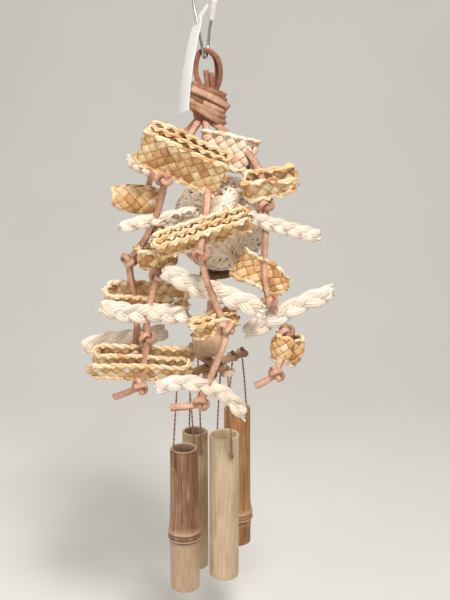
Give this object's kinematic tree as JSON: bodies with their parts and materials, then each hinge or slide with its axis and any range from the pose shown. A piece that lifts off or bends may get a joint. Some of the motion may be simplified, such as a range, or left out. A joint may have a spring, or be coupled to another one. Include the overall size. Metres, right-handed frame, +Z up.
{
  "type": "wind chime",
  "caption": "Hanging chime of bamboo tubes under woven palm-leaf pieces, leaf braids, a vine ball and a bead on knotted leather laces, with a wire hook.",
  "frame": {"origin": "top end of the hook's wire, which is what holds the chime up", "axes": "+Z up, +X to the right seen from the front, +Y away from the viewer; everything hangs below the origin"},
  "size_m": [0.2063, 0.1177, 0.525],
  "materials": {
    "leather": "natural, matt",
    "palm_leaf": "woven dry leaf, satin",
    "pale_leaf": "plaited bleached leaf, satin",
    "jute_twine": "hairy, matt",
    "bamboo": "raw, satin skin",
    "bamboo_slat": "raw split bamboo",
    "bead_wood": "sanded, unfinished",
    "disc_wood": "bark-brown, matt",
    "vine": "peeled vine strip, satin",
    "hook_wire": "plated, satin",
    "hook_cap": "satin",
    "card": "matt"
  },
  "bodies": {
    "hook": {"hook": "hook_wire", "hook_cap": "hook_cap"},
    "tag": {"blank_tag": "card"},
    "hanger": {"hanging_loop": "leather", "binding": "leather", "lace_front_left_upper": "leather", "lace_back_left_upper": "leather", "lace_front_upper": "leather", "lace_right_upper": "leather", "lace_core_upper": "leather", "weave_top_front": "palm_leaf", "weave_left_tube": "palm_leaf", "weave_top_back": "palm_leaf", "braid_left_back": "pale_leaf", "braid_left_top": "pale_leaf", "spacer_disc": "disc_wood"},
    "top_right_weave": {"weave_right_top": "palm_leaf"},
    "ball": {"vine_ball": "vine"},
    "left_strand": {"lace_front_left_lower": "leather", "lace_back_left_lower": "leather", "weave_left_small": "palm_leaf", "weave_left_loop": "palm_leaf", "braid_left_mid": "pale_leaf", "braid_left_low": "pale_leaf", "weave_left_fold": "palm_leaf"},
    "front_strand": {"lace_front_lower": "leather", "weave_front_long": "palm_leaf", "braid_front_mid": "pale_leaf", "weave_front_low": "palm_leaf"},
    "front_low_braid": {"braid_front_low": "pale_leaf"},
    "right_strand": {"lace_right_lower": "leather", "weave_right_mid": "palm_leaf"},
    "right_top_braid": {"braid_right_top": "pale_leaf"},
    "right_long_braid": {"braid_right_long": "pale_leaf"},
    "right_low_weave": {"weave_right_low": "palm_leaf"},
    "bead_drop": {"lace_core_lower": "leather", "bead": "bead_wood"},
    "cross": {"slat_short": "bamboo_slat", "slat_long": "bamboo_slat", "twine_knots": "jute_twine"},
    "tube_front_left": {"tube_front_left": "bamboo", "twine_front_left": "jute_twine"},
    "tube_back_left": {"tube_back_left": "bamboo", "twine_back_left": "jute_twine"},
    "tube_front_right": {"tube_front_right": "bamboo", "twine_front_right": "jute_twine"},
    "tube_back_right": {"tube_back_right": "bamboo", "twine_back_right": "jute_twine"}
  },
  "joints": [
    {"name": "tag_turn", "type": "hinge", "parent": "hook", "child": "tag", "pos_m": [-0.0044, -0.0076, -0.046], "axis": [0, 0, 1], "range_deg": [-15, 0]},
    {"name": "toy_swing", "type": "hinge", "parent": "hook", "child": "hanger", "pos_m": [0.0006, 0, -0.07], "axis": [0, 1, 0], "range_deg": [-12, 12]},
    {"name": "top_right_weave_turn", "type": "hinge", "parent": "hanger", "child": "top_right_weave", "pos_m": [0.048, -0.037, -0.166], "axis": [0, 0, 1], "range_deg": [-4, 4]},
    {"name": "ball_turn", "type": "hinge", "parent": "hanger", "child": "ball", "pos_m": [0.013, 0.005, -0.203], "axis": [0, 0, 1], "range_deg": [-25, 25]},
    {"name": "left_strand_swing", "type": "hinge", "parent": "hanger", "child": "left_strand", "pos_m": [-0.0515, -0.03, -0.212], "axis": [0, 1, 0], "range_deg": [0, 12]},
    {"name": "front_strand_swing", "type": "hinge", "parent": "hanger", "child": "front_strand", "pos_m": [0.003, -0.06, -0.1848], "axis": [-1, 0, 0], "range_deg": [0, 14]},
    {"name": "front_low_braid_turn", "type": "hinge", "parent": "front_strand", "child": "front_low_braid", "pos_m": [0.002, -0.067, -0.322], "axis": [0, 0, 1], "range_deg": [-5, 5]},
    {"name": "right_strand_swing", "type": "hinge", "parent": "hanger", "child": "right_strand", "pos_m": [0.048, -0.0378, -0.188], "axis": [-1, 0, 0], "range_deg": [0, 3]},
    {"name": "right_top_braid_turn", "type": "hinge", "parent": "right_strand", "child": "right_top_braid", "pos_m": [0.0482, -0.038, -0.196], "axis": [0, 0, 1], "range_deg": [-2, 1]},
    {"name": "right_long_braid_turn", "type": "hinge", "parent": "right_strand", "child": "right_long_braid", "pos_m": [0.0605, -0.039, -0.271], "axis": [0, 0, 1], "range_deg": [-6, 6]},
    {"name": "right_low_weave_turn", "type": "hinge", "parent": "right_strand", "child": "right_low_weave", "pos_m": [0.064, -0.0375, -0.299], "axis": [0, 0, 1], "range_deg": [-5, 5]},
    {"name": "bead_swing", "type": "hinge", "parent": "hanger", "child": "bead_drop", "pos_m": [0.0038, 0.001, -0.255], "axis": [0, 1, 0], "range_deg": [-4, 4]},
    {"name": "cross_turn", "type": "hinge", "parent": "bead_drop", "child": "cross", "pos_m": [0.003, 0, -0.322], "axis": [0, 0, 1], "range_deg": [-20, 20]},
    {"name": "tube_front_left_swing", "type": "hinge", "parent": "cross", "child": "tube_front_left", "pos_m": [-0.0178, -0.0269, -0.3279], "axis": [0.613, 0.7901, 0], "range_deg": [-1, 6.5]},
    {"name": "tube_back_left_swing", "type": "hinge", "parent": "cross", "child": "tube_back_left", "pos_m": [-0.01, 0.027, -0.323], "axis": [-0.434, 0.9009, 0], "range_deg": [-1, 6.5]},
    {"name": "tube_front_right_swing", "type": "hinge", "parent": "cross", "child": "tube_front_right", "pos_m": [0.016, -0.027, -0.323], "axis": [0.434, -0.9009, 0], "range_deg": [-1, 6.5]},
    {"name": "tube_back_right_swing", "type": "hinge", "parent": "cross", "child": "tube_back_right", "pos_m": [0.0275, 0.0316, -0.3279], "axis": [-0.613, -0.7901, 0], "range_deg": [-1, 6.5]}
  ]
}
